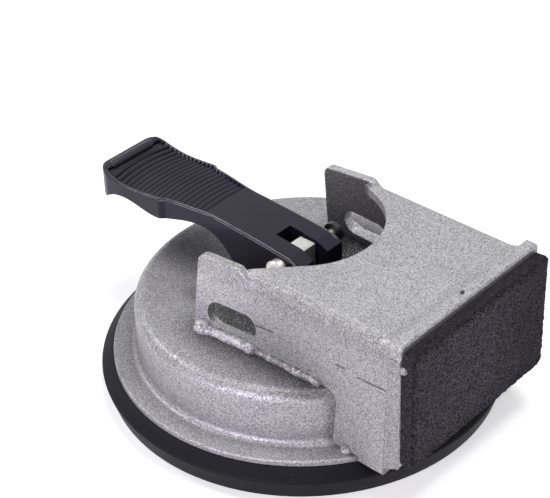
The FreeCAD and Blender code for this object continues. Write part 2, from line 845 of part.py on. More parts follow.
def make_parts():
    """Every piece by its name."""
    cover = make_cover()
    channel = make_bracket_channel()
    stop_plate = make_stop_plate()
    plates = [cover, channel, stop_plate]
    parts = {
        "suction_disc": make_suction_disc(),
        "insert_plate": make_insert_plate(),
        "stud_washer": make_stud_washer(),
        "lift_stud": make_lift_stud(),
        "guide_bush": make_guide_bush(),
        "cover": cover,
        "wear_plate": make_wear_plate(),
        "bracket_channel": channel,
        "stop_plate": stop_plate,
        "stop_pad": make_stop_pad(),
        "top_weld": make_top_weld(),
        "lever": make_lever(),
        "pivot_pin": make_pivot_pin(),
        "pin_washers": make_pin_washers(),
        "pin_retainer": make_pin_retainer(),
    }
    for name, side in (("near", -1), ("far", 1)):
        parts["side_weld_" + name] = make_side_weld(side, plates)
        parts["leg_weld_" + name] = make_leg_weld(side, plates)
        parts["corner_weld_" + name] = make_corner_weld(side, plates)
    return parts


def main():
    """Writes one STEP file for each piece."""
    os.makedirs("parts", exist_ok=True)
    for name, shape in make_parts().items():
        print(name, "valid" if shape.isValid() else "BROKEN", len(shape.Solids), round(shape.Volume, 1))
        shape.exportStep("parts/" + name + ".step")


main()
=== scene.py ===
"""Looks of a lever suction cup with a welded edge stop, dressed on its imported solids.

+Z is up, with the cup's axis through the origin and the sealing face at height 0.
+X points at the felt-padded stop face, the lever's grip points to -X, and -Y is the near side.
Blender works in metres. The classes below hold their sizes and places in millimetres.
"""

import logging
import math
import random
from contextlib import contextmanager
from dataclasses import dataclass
from enum import Enum
from typing import Any, Iterator, Sequence, Union

import bpy
from mathutils import Matrix, Vector


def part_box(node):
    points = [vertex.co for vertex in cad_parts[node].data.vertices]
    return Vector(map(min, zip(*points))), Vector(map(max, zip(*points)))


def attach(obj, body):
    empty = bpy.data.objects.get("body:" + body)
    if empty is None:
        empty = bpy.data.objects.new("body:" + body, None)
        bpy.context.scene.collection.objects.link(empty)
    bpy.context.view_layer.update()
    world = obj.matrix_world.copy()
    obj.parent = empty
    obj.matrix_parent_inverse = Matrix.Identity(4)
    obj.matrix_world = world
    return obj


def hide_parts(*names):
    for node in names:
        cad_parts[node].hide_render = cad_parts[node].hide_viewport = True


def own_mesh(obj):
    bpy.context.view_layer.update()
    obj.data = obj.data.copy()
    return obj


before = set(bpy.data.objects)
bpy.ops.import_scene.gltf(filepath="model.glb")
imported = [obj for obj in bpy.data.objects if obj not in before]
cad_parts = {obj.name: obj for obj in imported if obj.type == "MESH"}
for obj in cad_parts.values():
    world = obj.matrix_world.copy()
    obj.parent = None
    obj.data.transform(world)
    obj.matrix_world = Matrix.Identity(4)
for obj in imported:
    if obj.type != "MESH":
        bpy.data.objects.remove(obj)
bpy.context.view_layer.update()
MM = 0.001
MERGE = 0.002  # vertices closer than this are one
MEAN = 0.5  # middle of a noise's range
PLAIN, FINE, RICH = 2.0, 3.0, 4.0  # octaves of noise
LOG = logging.getLogger("edge_stop_cup")
Operand = Union["Value", float]
Triple = tuple[float, float, float]
Span = tuple[float, float]  # where a smooth step is 0 and where it is 1
Mark = tuple[Triple, Triple]


class Body(Enum):
    """Bodies of the frame that pieces ride on."""

    CUP = "cup"
    STUD = "stud"
    LEVER = "lever"


class Slot(Enum):
    """Names of material slots; nothing in this script uses them."""

    RUBBER = "rubber"
    PAINT = "grey_paint"
    FELT = "felt"
    LEVER = "lever_plastic"


class Side(Enum):
    """The bracket's two sides."""

    NEAR = "near"
    FAR = "far"


class Keep(Enum):
    """What a round cut through the rubber leaves."""

    OUTSIDE = "DIFFERENCE"
    INSIDE = "INTERSECT"


class Value:
    """One shader socket that takes part in Python arithmetic."""

    def __init__(self, nodes: "Nodes", socket: bpy.types.NodeSocket) -> None:
        """Keeps a socket together with the node tree that it belongs to.

        Args:
            nodes: The tree under construction.
            socket: An output socket of one of its nodes.
        """
        self.nodes = nodes
        self.socket = socket

    def other(self, output: str) -> "Value":
        """Another output of the same node."""
        return Value(self.nodes, self.socket.node.outputs[output])

    def math(self, operation: str, first: Operand, second: Operand = 0.0) -> "Value":
        """A Math node on two operands."""
        return self.nodes.node("ShaderNodeMath", {"operation": operation}, {0: first, 1: second})

    def __add__(self, other: Operand) -> "Value":
        """self + other."""
        return self.math("ADD", self, other)

    def __radd__(self, other: Operand) -> "Value":
        """other + self."""
        return self.math("ADD", other, self)

    def __sub__(self, other: Operand) -> "Value":
        """self - other."""
        return self.math("SUBTRACT", self, other)

    def __rsub__(self, other: Operand) -> "Value":
        """other - self."""
        return self.math("SUBTRACT", other, self)

    def __mul__(self, other: Operand) -> "Value":
        """self * other."""
        return self.math("MULTIPLY", self, other)

    def __rmul__(self, other: Operand) -> "Value":
        """other * self."""
        return self.math("MULTIPLY", other, self)

    def __truediv__(self, other: Operand) -> "Value":
        """self / other."""
        return self.math("DIVIDE", self, other)

    def __rtruediv__(self, other: Operand) -> "Value":
        """other / self."""
        return self.math("DIVIDE", other, self)

    def __abs__(self) -> "Value":
        """The value without its sign."""
        return self.math("ABSOLUTE", self)

    def most(self, other: Operand) -> "Value":
        """The larger of two values."""
        return self.math("MAXIMUM", self, other)

    def centred(self) -> "Value":
        """A noise about 0, so that it adds as much as it takes away."""
        return self - MEAN

    def rise(self, low: float, high: float) -> "Value":
        """A smooth step from 0 at low to 1 at high, which also falls where low is over high."""
        inputs = {"Value": self, "From Min": low, "From Max": high}
        return self.nodes.node("ShaderNodeMapRange", {"interpolation_type": "SMOOTHSTEP"}, inputs)


class Nodes:
    """A shader node tree, built from expressions."""

    def __init__(self, tree: bpy.types.NodeTree) -> None:
        """Keeps the tree to build in."""
        self.tree = tree

    def node(self, kind: str, settings: dict[str, Any] | None = None,
             inputs: dict[str | int, Any] | None = None, output: str | int = 0) -> Value:
        """Adds a node.

        Args:
            kind: The node's type.
            settings: Its own settings, set before its sockets; stops fills a colour ramp.
            inputs: Values or links of its sockets, by name or number.
            output: The output to hand back.

        Returns:
            The chosen output.
        """
        made = self.tree.nodes.new(kind)
        for name, value in (settings or {}).items():
            if name == "stops":
                self.fill_ramp(made.color_ramp, value)
            else:
                setattr(made, name, value)
        for key, value in (inputs or {}).items():
            self.feed(made.inputs[key], value)
        return Value(self, made.outputs[output])

    @staticmethod
    def fill_ramp(ramp: bpy.types.ColorRamp, stops: Sequence[tuple[float, Triple]]) -> None:
        """Sets a ramp's stops.

        Args:
            ramp: The colour ramp.
            stops: Position and colour of each stop, in order.
        """
        while len(ramp.elements) < len(stops):
            ramp.elements.new(1.0)
        for element, (position, colour) in zip(ramp.elements, stops):
            element.position = position
            element.color = (*colour, 1.0)

    def feed(self, socket: bpy.types.NodeSocket, value: Any) -> None:
        """Links a socket to a Value, or sets it to a constant.

        Args:
            socket: An input socket.
            value: A Value, a number, a vector or a colour.
        """
        if isinstance(value, Value):
            self.tree.links.new(value.socket, socket)
        elif isinstance(value, tuple) and socket.type == "RGBA":
            socket.default_value = (*value, 1.0)
        else:
            socket.default_value = value

    def seen(self) -> Value:
        """1 for rays that show a surface to the camera, also by gloss or glass; 0 for its light."""
        ray = self.node("ShaderNodeLightPath", output="Is Camera Ray")
        return ray + ray.other("Is Glossy Ray") + ray.other("Is Transmission Ray")


class Shader(Nodes):
    """One node material."""

    def __init__(self, name: str) -> None:
        """Starts a material with its Principled shader.

        Args:
            name: The material's name.
        """
        self.material = bpy.data.materials.new(name)
        self.material.use_nodes = True
        super().__init__(self.material.node_tree)
        self.surface = self.tree.nodes["Principled BSDF"]

    def finish(self, sockets: dict[str, Any]) -> bpy.types.Material:
        """Feeds the Principled shader.

        Args:
            sockets: Values by the shader's socket names.

        Returns:
            The finished material.
        """
        for name, value in sockets.items():
            self.feed(self.surface.inputs[name], value)
        return self.material

    def vector(self, operation: str, inputs: dict[str | int, Any], output: int = 0) -> Value:
        """A Vector Math node."""
        return self.node("ShaderNodeVectorMath", {"operation": operation}, inputs, output)

    def place(self) -> Value:
        """Object coordinates in millimetres."""
        spot = self.node("ShaderNodeTexCoord", output="Object")
        return self.vector("SCALE", {0: spot, "Scale": 1 / MM})

    def axes(self, place: Value) -> tuple[Value, Value, Value]:
        """The three components of a place."""
        x = self.node("ShaderNodeSeparateXYZ", inputs={0: place})
        return x, x.other("Y"), x.other("Z")

    def stretched(self, place: Value, scale: Triple) -> Value:
        """A place scaled by its own factor along each axis."""
        return self.vector("MULTIPLY", {0: place, 1: scale})

    def noise(self, place: Value, size: float, detail: float, distortion: float = 0.0) -> Value:
        """Cloudy noise from 0 to 1.

        Args:
            place: Where to read it, in millimetres.
            size: Width of a cloud in millimetres.
            detail: Octaves of finer clouds.
            distortion: How far the clouds are stirred.

        Returns:
            The noise's value.
        """
        inputs = {"Vector": place, "Scale": 1 / size, "Detail": detail, "Distortion": distortion}
        return self.node("ShaderNodeTexNoise", None, inputs)

    def flakes(self, place: Value, size: float) -> Value:
        """A random value from 0 to 1 in each cell of the given width in millimetres."""
        inputs = {"Vector": place, "Scale": 1 / size}
        return self.first(self.node("ShaderNodeTexVoronoi", None, inputs, "Color"))

    def first(self, colour: Value) -> Value:
        """The first channel of a colour."""
        return self.node("ShaderNodeSeparateColor", None, {0: colour})

    def mix(self, factor: Operand, first: Any, second: Any) -> Value:
        """A colour between two colours."""
        inputs = {0: factor, 6: first, 7: second}
        return self.node("ShaderNodeMix", {"data_type": "RGBA"}, inputs, 2)

    def shade(self, colour: Any, light: Value) -> Value:
        """A colour times a brightness.

        Args:
            colour: A constant colour or a linked one.
            light: The brightness.

        Returns:
            The shaded colour.
        """
        grey = self.node("ShaderNodeCombineColor", None, {0: light, 1: light, 2: light})
        settings = {"data_type": "RGBA", "blend_type": "MULTIPLY"}
        return self.node("ShaderNodeMix", settings, {0: 1.0, 6: colour, 7: grey}, 2)

    def bump(self, height: Value, depth: float) -> Value:
        """A normal from a height map, in which 1 stands for a depth in millimetres."""
        return self.node("ShaderNodeBump", None, {"Height": height, "Distance": depth * MM})

    def stroke(self, place: Value, mark: Mark, width: float) -> Value:
        """A thin straight mark, 1 on its line and 0 beyond its width.

        Args:
            place: Where to read it, in millimetres.
            mark: Its two ends in millimetres.
            width: Half width in millimetres.

        Returns:
            The mark's mask.
        """
        run = Vector(mark[1]) - Vector(mark[0])
        away = self.vector("SUBTRACT", {0: place, 1: mark[0]})
        along = self.vector("DOT_PRODUCT", {0: away, 1: tuple(run / run.length_squared)}, 1)
        share = self.node("ShaderNodeClamp", None, {0: along})
        foot = self.vector("SCALE", {0: tuple(run), "Scale": share})
        return self.vector("DISTANCE", {0: away, 1: foot}, 1).rise(width, width / 3)


@dataclass(frozen=True)
class SparklePaint:
    """Silver-grey paint with metal flakes, sprayed over dark steel."""

    name: str = "grey sparkle paint"
    colour: Triple = (0.4, 0.397, 0.412)
    # Dark steel; in the bracket's and cover's paint also the colour of their painted shade.
    steel: Triple = (0.05, 0.049, 0.052)
    flake_size: float = 0.23
    grain_size: float = 0.4
    cloud_size: float = 9.0
    dullest: float = 0.38
    flake_light: float = 1.16
    grain_light: float = 0.1
    cloud_light: float = 0.18
    glint: Span = (0.86, 0.97)
    metal: float = 0.3
    flake_metal: float = 0.3
    roughness: float = 0.5
    flake_polish: float = 0.12
    flake_height: float = 0.5
    relief: float = 0.025
    marks: tuple[Mark, ...] = ()
    mark_width: float = 0.5
    mark_depth: float = 0.75

    def bare_and_shade(self, shader: Shader, place: Value) -> Operand:
        """Share of dark steel that shows through; on plain paint only in its marks.

        Args:
            shader: The paint's material.
            place: Where to read it, in millimetres.

        Returns:
            The share, from 0 to 1.
        """
        dark: Operand = 0.0
        for mark in self.marks:
            dark = (shader.stroke(place, mark, self.mark_width) * self.mark_depth).most(dark)
        return dark

    def painted_light(self, shader: Shader, place: Value) -> Operand:
        """Painted light and shade on the paint at a place; none on plain paint."""
        return 1.0

    def material(self) -> bpy.types.Material:
        """Builds the paint.

        Returns:
            The material.
        """
        shader = Shader(self.name)
        place = shader.place()
        flake = shader.flakes(place, self.flake_size)
        grain = shader.noise(place, self.grain_size, FINE)
        cloud = shader.noise(place, self.cloud_size, PLAIN)
        light = self.dullest + flake * self.flake_light
        light = light + grain.centred() * self.grain_light + cloud.centred() * self.cloud_light
        paint = shader.shade(self.colour, light * self.painted_light(shader, place))
        # Dark steel with paint flakes; the dark share also mixes it in as painted shade.
        speckled_steel_and_shade = shader.mix(flake.rise(*self.glint), self.steel, self.colour)
        return shader.finish({
            "Base Color": shader.mix(self.bare_and_shade(shader, place), paint, speckled_steel_and_shade),
            "Metallic": self.metal + flake * self.flake_metal,
            "Roughness": self.roughness - flake * self.flake_polish,
            "Normal": shader.bump(flake * self.flake_height + grain, self.relief),
        })


@dataclass(frozen=True)
class BracketPaint(SparklePaint):
    """The bracket's paint: painted shade inside and on the near bend, painted light on the ears and
    ridge, scratched on the near plate.
    """

    name: str = "bracket paint"
    half: float = 26.2
    top: float = 51.3
    lean: float = 0.0612
    flare_x: float = 8.0
    near_flare: float = 0.0963
    far_flare: float = 0.0262
    inner_depth: Span = (0.35, 0.2)
    under_top: Span = (48.85, 48.65)
    ears_x: Span = (5.0, 3.6)
    inner_shade: float = 0.72
    bend_y: Span = (-26.2, -27.2)
    bend_z: Span = (43.0, 48.0)
    bend_shade: float = 0.2
    joint_y: Span = (-28.0, -29.0)
    joint_x: Span = (54.9, 55.2)
    joint_bare: float = 0.5
    ear_lit_x: Span = (14.0, -6.0)
    ear_light: float = 0.12
    ridge_y: float = -25.9
    ridge_width: Span = (0.6, 0.2)
    ridge_z: Span = (50.9, 51.2)
    ridge_highlight: float = 0.12
    plate_y: Span = (-27.2, -28.4)
    plate_x: Span = (8.0, 25.0)
    plate_shade: float = 0.08
    marks: tuple[Mark, ...] = (
        ((38.0, -29.9, 37.3), (40.7, -29.9, 37.4)),
        ((45.5, -29.9, 36.8), (54.5, -29.9, 37.3)),
        ((9.5, -29.9, 36.2), (15.6, -29.9, 36.9)),
    )

    def bare_and_shade(self, shader: Shader, place: Value) -> Operand:
        """Painted shade on the inner faces and faintly on the near bend; dark at the corner joint
        and in the marks.

        Args:
            shader: The paint's material.
            place: Where to read it, in millimetres.

        Returns:
            The share of dark steel and painted shade, from 0 to 1.
        """
        x, y, z = shader.axes(place)
        behind = (self.flare_x - x).most(0.0)
        leant = self.half + (self.top - z) * self.lean
        far = (y - leant - behind * self.far_flare).rise(*self.inner_depth)
        near = (-1.0 * y - leant - behind * self.near_flare).rise(*self.inner_depth)
        low = z.rise(*self.under_top).most(x.rise(*self.ears_x))
        # Painted shade on the inner faces, below the top plate and by the ears.
        dark = far * near * low * self.inner_shade
        # Faint painted shade on the near bend.
        bend = y.rise(*self.bend_y) * z.rise(*self.bend_z) * self.bend_shade
        joint = y.rise(*self.joint_y) * x.rise(*self.joint_x) * self.joint_bare
        return dark.most(bend).most(joint).most(super().bare_and_shade(shader, place))

    def painted_light(self, shader: Shader, place: Value) -> Operand:
        """Painted light towards the ears, a painted highlight along the near bend's ridge, and
        painted shade on the near plate.

        Args:
            shader: The paint's material.
            place: Where to read it, in millimetres.

        Returns:
            The brightness.
        """
        x, y, z = shader.axes(place)
        # Painted light: lighter towards the ears.
        pale = x.rise(*self.ear_lit_x) * self.ear_light
        # Painted highlight along the ridge of the near bend.
        ridge = abs(y - self.ridge_y).rise(*self.ridge_width) * z.rise(*self.ridge_z)
        # Painted shade on the near plate.
        plate = y.rise(*self.plate_y) * x.rise(*self.plate_x)
        return 1.0 + pale + ridge * self.ridge_highlight - plate * self.plate_shade


@dataclass(frozen=True)
class CoverPaint(SparklePaint):
    """The cover's paint: painted shade between the ears, under the lever and bracket, beside its
    plates and towards the grip.
    """

    name: str = "cover paint"
    # A little darker than the bracket's paint: painted shade.
    colour: Triple = (0.385, 0.38, 0.398)
    edge_wobble_size: float = 4.0
    edge_wobble_reach: float = 8.0
    ears_x: Span = (-34.0, -4.0)
    ears_y: Span = (29.0, 23.0)
    lever_y: Span = (24.0, 13.0)
    lever_x: Span = (-46.0, -41.0)
    lever_shade: float = 0.5
    roof_x: Span = (-2.0, 10.0)
    roof_y: Span = (28.0, 27.0)
    beside_y: Span = (46.0, 31.0)
    beside_back: Span = (-26.0, -4.0)
    beside_front: Span = (44.0, 30.0)
    least_shade: float = 0.14
    top_z: Span = (25.5, 27.0)
    gap_y: Span = (34.0, 31.4)
    gap_x: Span = (24.0, 32.0)
    gap_shade: float = 0.6
    grip_x: Span = (0.0, -40.0)
    grip_top_shade: float = 0.04
    wall_z: Span = (26.5, 24.0)
    grip_wall_shade: float = 0.26

    def bare_and_shade(self, shader: Shader, place: Value) -> Operand:
        """Painted shade between the ears, under the lever and the bracket, beside its plates, in
        the gap at the near plate and faintly all over the top.

        Args:
            shader: The paint's material.
            place: Where to read it, in millimetres.

        Returns:
            The share of painted shade, from 0 to 1, with soft borders.
        """
        x, y, z = shader.axes(place)
        across = abs(y)
        edge_wobble = shader.noise(place, self.edge_wobble_size, FINE) * self.edge_wobble_reach
        # Painted shade where the ears, the lever and the bracket shade the cover's top.
        between = (x + edge_wobble).rise(*self.ears_x) * across.rise(*self.ears_y)
        under = across.rise(*self.lever_y) * x.rise(*self.lever_x) * self.lever_shade
        covered = x.rise(*self.roof_x) * across.rise(*self.roof_y)
        beside = across.rise(*self.beside_y) * x.rise(*self.beside_back)
        beside = beside * x.rise(*self.beside_front)
        dark = between.most(covered).most(beside).most(under).most(self.least_shade)
        # Painted shade in the gap beside the near plate.
        gap = across.rise(*self.gap_y) * x.rise(*self.gap_x) * self.gap_shade
        return (dark * z.rise(*self.top_z)).most(gap)

    def painted_light(self, shader: Shader, place: Value) -> Operand:
        """Painted shade towards the lever's grip, most of all on the wall and the flange."""
        x, _, z = shader.axes(place)
        return 1.0 - x.rise(*self.grip_x) * (self.grip_top_shade + z.rise(*self.wall_z) * self.grip_wall_shade)


@dataclass(frozen=True)
class WeldPaint(SparklePaint):
    """Paint over weld metal: rougher, with sooty hollows and a brown tail along the thin seam."""

    name: str = "weld paint"
    colour: Triple = (0.52, 0.52, 0.535)
    steel: Triple = (0.13, 0.105, 0.09)
    roughness: float = 0.72
    soot_size: float = 1.3
    soot_patch: Span = (0.52, 0.7)
    soot_bare: float = 0.7
    tail_start: Span = (8.0, 10.0)
    tail_end: Span = (36.0, 34.0)
    tail_patch: Span = (0.3, 0.55)
    tail_bare: float = 0.75

    def bare_and_shade(self, shader: Shader, place: Value) -> Operand:
        """Soot in patches, and most of the tail.

        Args:
            shader: The paint's material.
            place: Where to read it, in millimetres.

        Returns:
            The share of stained steel, from 0 to 1.
        """
        soot = shader.noise(place, self.soot_size, FINE)
        x = shader.axes(place)[0]
        tail = x.rise(*self.tail_start) * x.rise(*self.tail_end)
        stain = tail * soot.rise(*self.tail_patch) * self.tail_bare
        return (soot.rise(*self.soot_patch) * self.soot_bare).most(stain)


@dataclass(frozen=True)
class MouldedRubber:
    """Satin black rubber with a faint moulded skin and a little dust."""

    name: str = "black rubber"
    colour: Triple = (0.0075, 0.007, 0.0115)
    dullest: float = 0.7
    skin_size: float = 0.5
    skin_light: float = 0.4
    bloom_size: float = 14.0
    bloom_light: float = 0.6
    dust_size: float = 0.4
    dust_share: Span = (0.99, 1.0)
    dust_cover: float = 0.12
    dust_colour: Triple = (0.12, 0.11, 0.1)
    roughness: float = 0.45
    bloom_roughness: float = 0.16
    relief: float = 0.03

    def material(self) -> bpy.types.Material:
        """Builds the rubber.

        Returns:
            The material.
        """
        shader = Shader(self.name)
        place = shader.place()
        skin = shader.noise(place, self.skin_size, FINE)
        bloom = shader.noise(place, self.bloom_size, RICH)
        dust = shader.flakes(place, self.dust_size).rise(*self.dust_share) * self.dust_cover
        light = self.dullest + bloom * self.bloom_light + skin.centred() * self.skin_light
        return shader.finish({
            "Base Color": shader.mix(dust, shader.shade(self.colour, light), self.dust_colour),
            "Roughness": self.roughness + bloom * self.bloom_roughness,
            "Specular IOR Level": 0.12,
            "Normal": shader.bump(skin, self.relief),
        })


@dataclass(frozen=True)
class LeverPlastic:
    """Black moulded plastic with a satin skin, with painted highlights along its upper edges and at
    its ribs' far ends.
    """

    name: str = "satin black plastic"
    colour: Triple = (0.011, 0.0095, 0.019)
    highlight_colour: Triple = (0.34, 0.33, 0.38)
    highlight_cover: float = 0.95
    reach: float = 73.0
    length: float = 80.0
    widest: float = 13.0
    half_widths: tuple[Span, ...] = (
        (-71.8, 12.3), (-62.0, 12.85), (-45.2, 12.45), (-43.4, 11.4), (-27.0, 9.05), (7.0, 9.4),
    )
    upper_inset: float = 0.62
    upper_width: Span = (0.2, 0.05)
    lower_inset: float = 0.14
    lower_width: Span = (0.12, 0.03)
    lower_light: float = 0.6
    patch_size: float = 6.0
    patch: Span = (0.3, 0.6)
    patch_light: float = 0.65
    neck_x: Span = (-52.0, -40.0)
    neck_light: float = 0.55
    speck_pitch: float = 1.75
    speck_length: Span = (0.3, 0.42)
    speck_inset: float = 1.25
    speck_width: Span = (0.4, 0.15)
    speck_side: Span = (0.0, 1.0)
    speck_tip: Span = (-68.0, -65.0)
    speck_end: Span = (-37.0, -41.0)
    speck_light: float = 0.7
    upper_z: Span = (42.2, 43.0)
    skin_size: float = 0.3
    flow_size: float = 5.0
    flow_run: Triple = (0.15, 1.0, 1.0)
    dullest: float = 0.8
    flow_light: float = 0.4
    roughness: float = 0.2
    flow_roughness: float = 0.1
    relief: float = 0.012

    def inset(self, shader: Shader, x: Value, y: Value) -> Value:
        """Distance in from the lever's waisted outline.

        Args:
            shader: The plastic's material.
            x: Place along the lever in millimetres.
            y: Place across it.

        Returns:
            The distance in millimetres.
        """
        stops = [((at + self.reach) / self.length, (half / self.widest,) * 3)
                 for at, half in self.half_widths]
        along = (x + self.reach) / self.length
        share = shader.first(shader.node("ShaderNodeValToRGB", {"stops": stops}, {0: along}))
        return share * self.widest - abs(y)

    def painted_highlight(self, shader: Shader, place: Value) -> Value:
        """Painted highlights: two fine lines along the rounded upper edges, and specks at the far
        ends of the ribs.

        Args:
            shader: The plastic's material.
            place: Where to read it, in millimetres.

        Returns:
            The share of painted highlight, from 0 to 1.
        """
        x, y, z = shader.axes(place)
        inset = self.inset(shader, x, y)
        upper = abs(inset - self.upper_inset).rise(*self.upper_width)
        lower = abs(inset - self.lower_inset).rise(*self.lower_width) * self.lower_light
        patchy = shader.noise(place, self.patch_size, FINE).rise(*self.patch)
        highlit = 1 - self.patch_light + patchy * self.patch_light
        bright = 1 - self.neck_light + x.rise(*self.neck_x) * self.neck_light
        lines = (upper + lower) * highlit * bright
        pitch = self.speck_pitch
        wave = shader.node("ShaderNodeMath", {"operation": "PINGPONG"}, {0: x, 1: pitch / 2})
        specks = wave.rise(*(pitch * share for share in self.speck_length))
        specks = specks * abs(inset - self.speck_inset).rise(*self.speck_width)
        specks = specks * y.rise(*self.speck_side)
        specks = specks * x.rise(*self.speck_tip) * x.rise(*self.speck_end)
        return lines.most(specks * self.speck_light) * z.rise(*self.upper_z)

    def material(self) -> bpy.types.Material:
        """Builds the plastic.

        Returns:
            The material.
        """
        shader = Shader(self.name)
        place = shader.place()
        skin = shader.noise(place, self.skin_size, PLAIN)
        flow = shader.noise(shader.stretched(place, self.flow_run), self.flow_size, FINE)
        black = shader.shade(self.colour, self.dullest + flow * self.flow_light)
        # Painted highlights on the lever's upper edges and ribs.
        highlit = self.painted_highlight(shader, place) * self.highlight_cover
        return shader.finish({
            "Base Color": shader.mix(highlit, black, self.highlight_colour),
            "Roughness": self.roughness + flow * self.flow_roughness,
            "Specular IOR Level": 0.28,
            "Specular Tint": (0.9, 0.87, 1.0),
            "Normal": shader.bump(skin, self.relief),
        })


@dataclass(frozen=True)
class PlatedSteel:
    """Plated or bright steel, brushed along one direction and stained a little."""

    name: str
    colour: Triple
    stain: Triple
    roughness: float
    brush_run: Triple = (1.0, 1.0, 0.12)
    brush_size: float = 0.25
    brush_light: float = 0.5
    brush_roughness: float = 0.2
    dullest: float = 0.75
    stain_size: float = 0.9
    stain_patch: Span = (0.5, 0.75)
    relief: float = 0.02

    def material(self) -> bpy.types.Material:
        """Builds the metal.

        Returns:
            The material.
        """
        shader = Shader(self.name)
        place = shader.place()
        brush = shader.noise(shader.stretched(place, self.brush_run), self.brush_size, FINE)
        blotch = shader.noise(place, self.stain_size, RICH).rise(*self.stain_patch)
        tint = shader.mix(blotch, self.colour, self.stain)
        return shader.finish({
            "Base Color": shader.shade(tint, self.dullest + brush * self.brush_light),
            "Metallic": 0.9,
            "Roughness": self.roughness + brush * self.brush_roughness,
            "Normal": shader.bump(brush, self.relief),
        })


@dataclass(frozen=True)
class PlainMoulding:
    """Small moulded parts: the guide bush and the pin's push-on ring."""

    name: str
    colour: Triple
    roughness: float
    skin_size: float = 0.4
    skin_light: float = 0.4
    skin_roughness: float = 0.15
    dullest: float = 0.8
    relief: float = 0.02

    def material(self) -> bpy.types.Material:
        """Builds the plastic.

        Returns:
            The material.
        """
        shader = Shader(self.name)
        skin = shader.noise(shader.place(), self.skin_size, FINE)
        return shader.finish({
            "Base Color": shader.shade(self.colour, self.dullest + skin * self.skin_light),
            "Roughness": self.roughness + skin * self.skin_roughness,
            "Normal": shader.bump(skin, self.relief),
        })


@dataclass(frozen=True)
class Felt:
    """Coarse black felt, its fibres laid aslant, with pale specks, lighter in the middle, painted
    shade at its near and top edges.
    """

    name: str = "black felt"
    colour: Triple = (0.1, 0.0935, 0.111)
    pale: Triple = (0.2, 0.19, 0.2)
    slant: float = 0.9
    strand_run: Triple = (1.0, 0.2, 1.4)
    strand_size: float = 0.28
    strand_stir: float = 0.4
    strand: Span = (0.36, 0.64)
    strand_light: float = 1.75
    tuft_size: float = 0.35
    tuft_stir: float = 1.0
    tuft_light: float = 2.8
    mat_size: float = 7.0
    mat_light: float = 0.3
    dullest: float = 0.06
    # Base level across the pad, raised towards the middle and lowered towards the far end.
    dust: float = 0.64
    middle_rise: Span = (-29.0, -4.0)
    middle_gain: float = 0.12
    far_fall: Span = (-2.0, 25.8)
    far_loss: float = 0.38
    edge_shade_light: float = 0.34
    face_light: float = 0.85
    wobble: float = 3.0
    near_edge_shade: Span = (-29.4, -25.6)
    top_edge_shade: Span = (51.2, 47.4)
    bottom_fade: Span = (5.2, 22.2)
    lint_size: float = 0.35
    lint: Span = (0.95, 0.99)
    lint_tuft: Span = (0.42, 0.62)
    lint_cover: float = 0.8
    relief: float = 0.25

    def face(self, shader: Shader, place: Value, tuft: Value) -> Value:
        """Brightness over the pad: lighter in the middle, darker to the far end and towards the
        bottom, painted shade at the near and top edges.

        Args:
            shader: The felt's material.
            place: Where to read it, in millimetres.
            tuft: The noise that makes the borders ragged.

        Returns:
            The brightness.
        """
        _, y, z = shader.axes(place)
        ragged = tuft.centred() * self.wobble
        dust = self.dust + y.rise(*self.middle_rise) * self.middle_gain
        dust = dust - y.rise(*self.far_fall) * self.far_loss
        # Painted shade on the near and top edges, and darker towards the bottom.
        aside = (y + ragged).rise(*self.near_edge_shade) * dust
        aloft = (z + ragged).rise(*self.top_edge_shade) * z.rise(*self.bottom_fade)
        return self.edge_shade_light + aside * aloft * self.face_light

    def material(self) -> bpy.types.Material:
        """Builds the felt.

        Returns:
            The material.
        """
        shader = Shader(self.name)
        place = shader.place()
        turn = {"Vector": place, "Rotation": (self.slant, 0.0, 0.0)}
        laid = shader.stretched(shader.node("ShaderNodeMapping", None, turn), self.strand_run)
        strand = shader.noise(laid, self.strand_size, FINE, self.strand_stir)
        tuft = shader.noise(place, self.tuft_size, FINE, self.tuft_stir)
        mat = shader.noise(place, self.mat_size, FINE)
        light = strand.rise(*self.strand) * self.strand_light + tuft.centred() * self.tuft_light
        light = (light + mat * self.mat_light).most(self.dullest) * self.face(shader, place, tuft)
        speck = shader.flakes(place, self.lint_size).rise(*self.lint) * tuft.rise(*self.lint_tuft)
        black = shader.shade(self.colour, light)
        return shader.finish({
            "Base Color": shader.mix(speck * self.lint_cover, black, self.pale),
            "Roughness": 0.95,
            "Specular IOR Level": 0.08,
            "Normal": shader.bump(strand + tuft, self.relief),
        })


